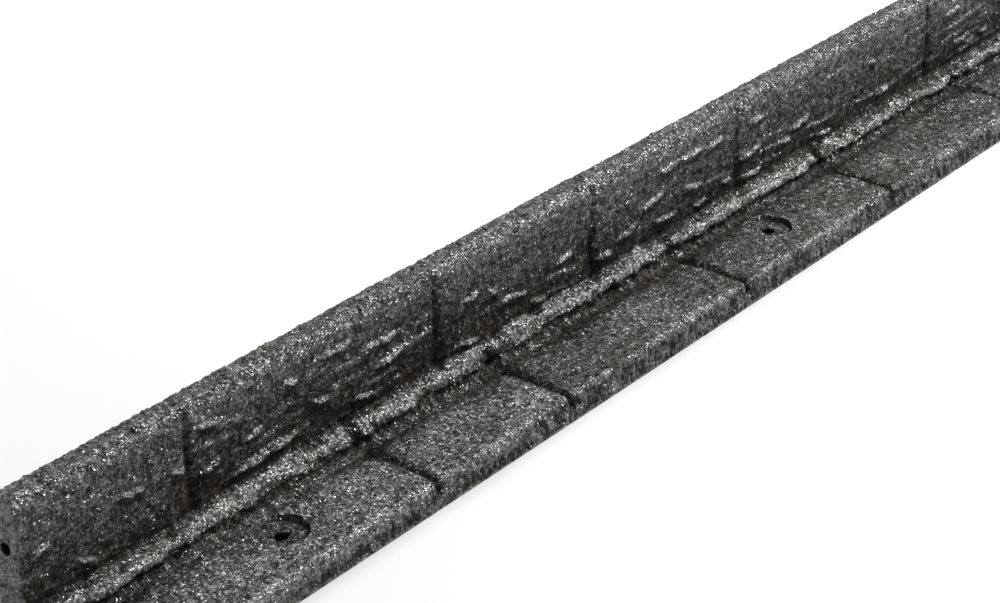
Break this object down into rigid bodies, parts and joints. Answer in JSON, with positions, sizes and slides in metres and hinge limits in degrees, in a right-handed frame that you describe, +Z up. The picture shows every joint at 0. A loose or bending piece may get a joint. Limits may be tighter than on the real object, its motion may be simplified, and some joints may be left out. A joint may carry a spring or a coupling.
{
  "type": "landscape edging strip",
  "caption": "Long L-shaped rubber garden edging strip with a stone-look face, spike holes along its flange and a sliding joining pin in one end.",
  "frame": {"origin": "on the ground, at mid length, on the axis of the middle spike hole", "axes": "+X along the strip towards the end that carries the joining pin, +Y towards the plain back that holds the soil, +Z up"},
  "size_m": [1.2637, 0.0889, 0.0889],
  "materials": {
    "crumb_rubber": "coarse moulded crumb, dark grey, with small glints",
    "pin_steel": "zinc plated, satin"
  },
  "bodies": {
    "strip": {"edging_strip": "crumb_rubber"},
    "pin": {"joining_pin": "pin_steel"}
  },
  "joints": [
    {"name": "pin_slide", "type": "slide", "parent": "strip", "child": "pin", "axis": [1, 0, 0], "range_m": [0, 0.048]}
  ]
}
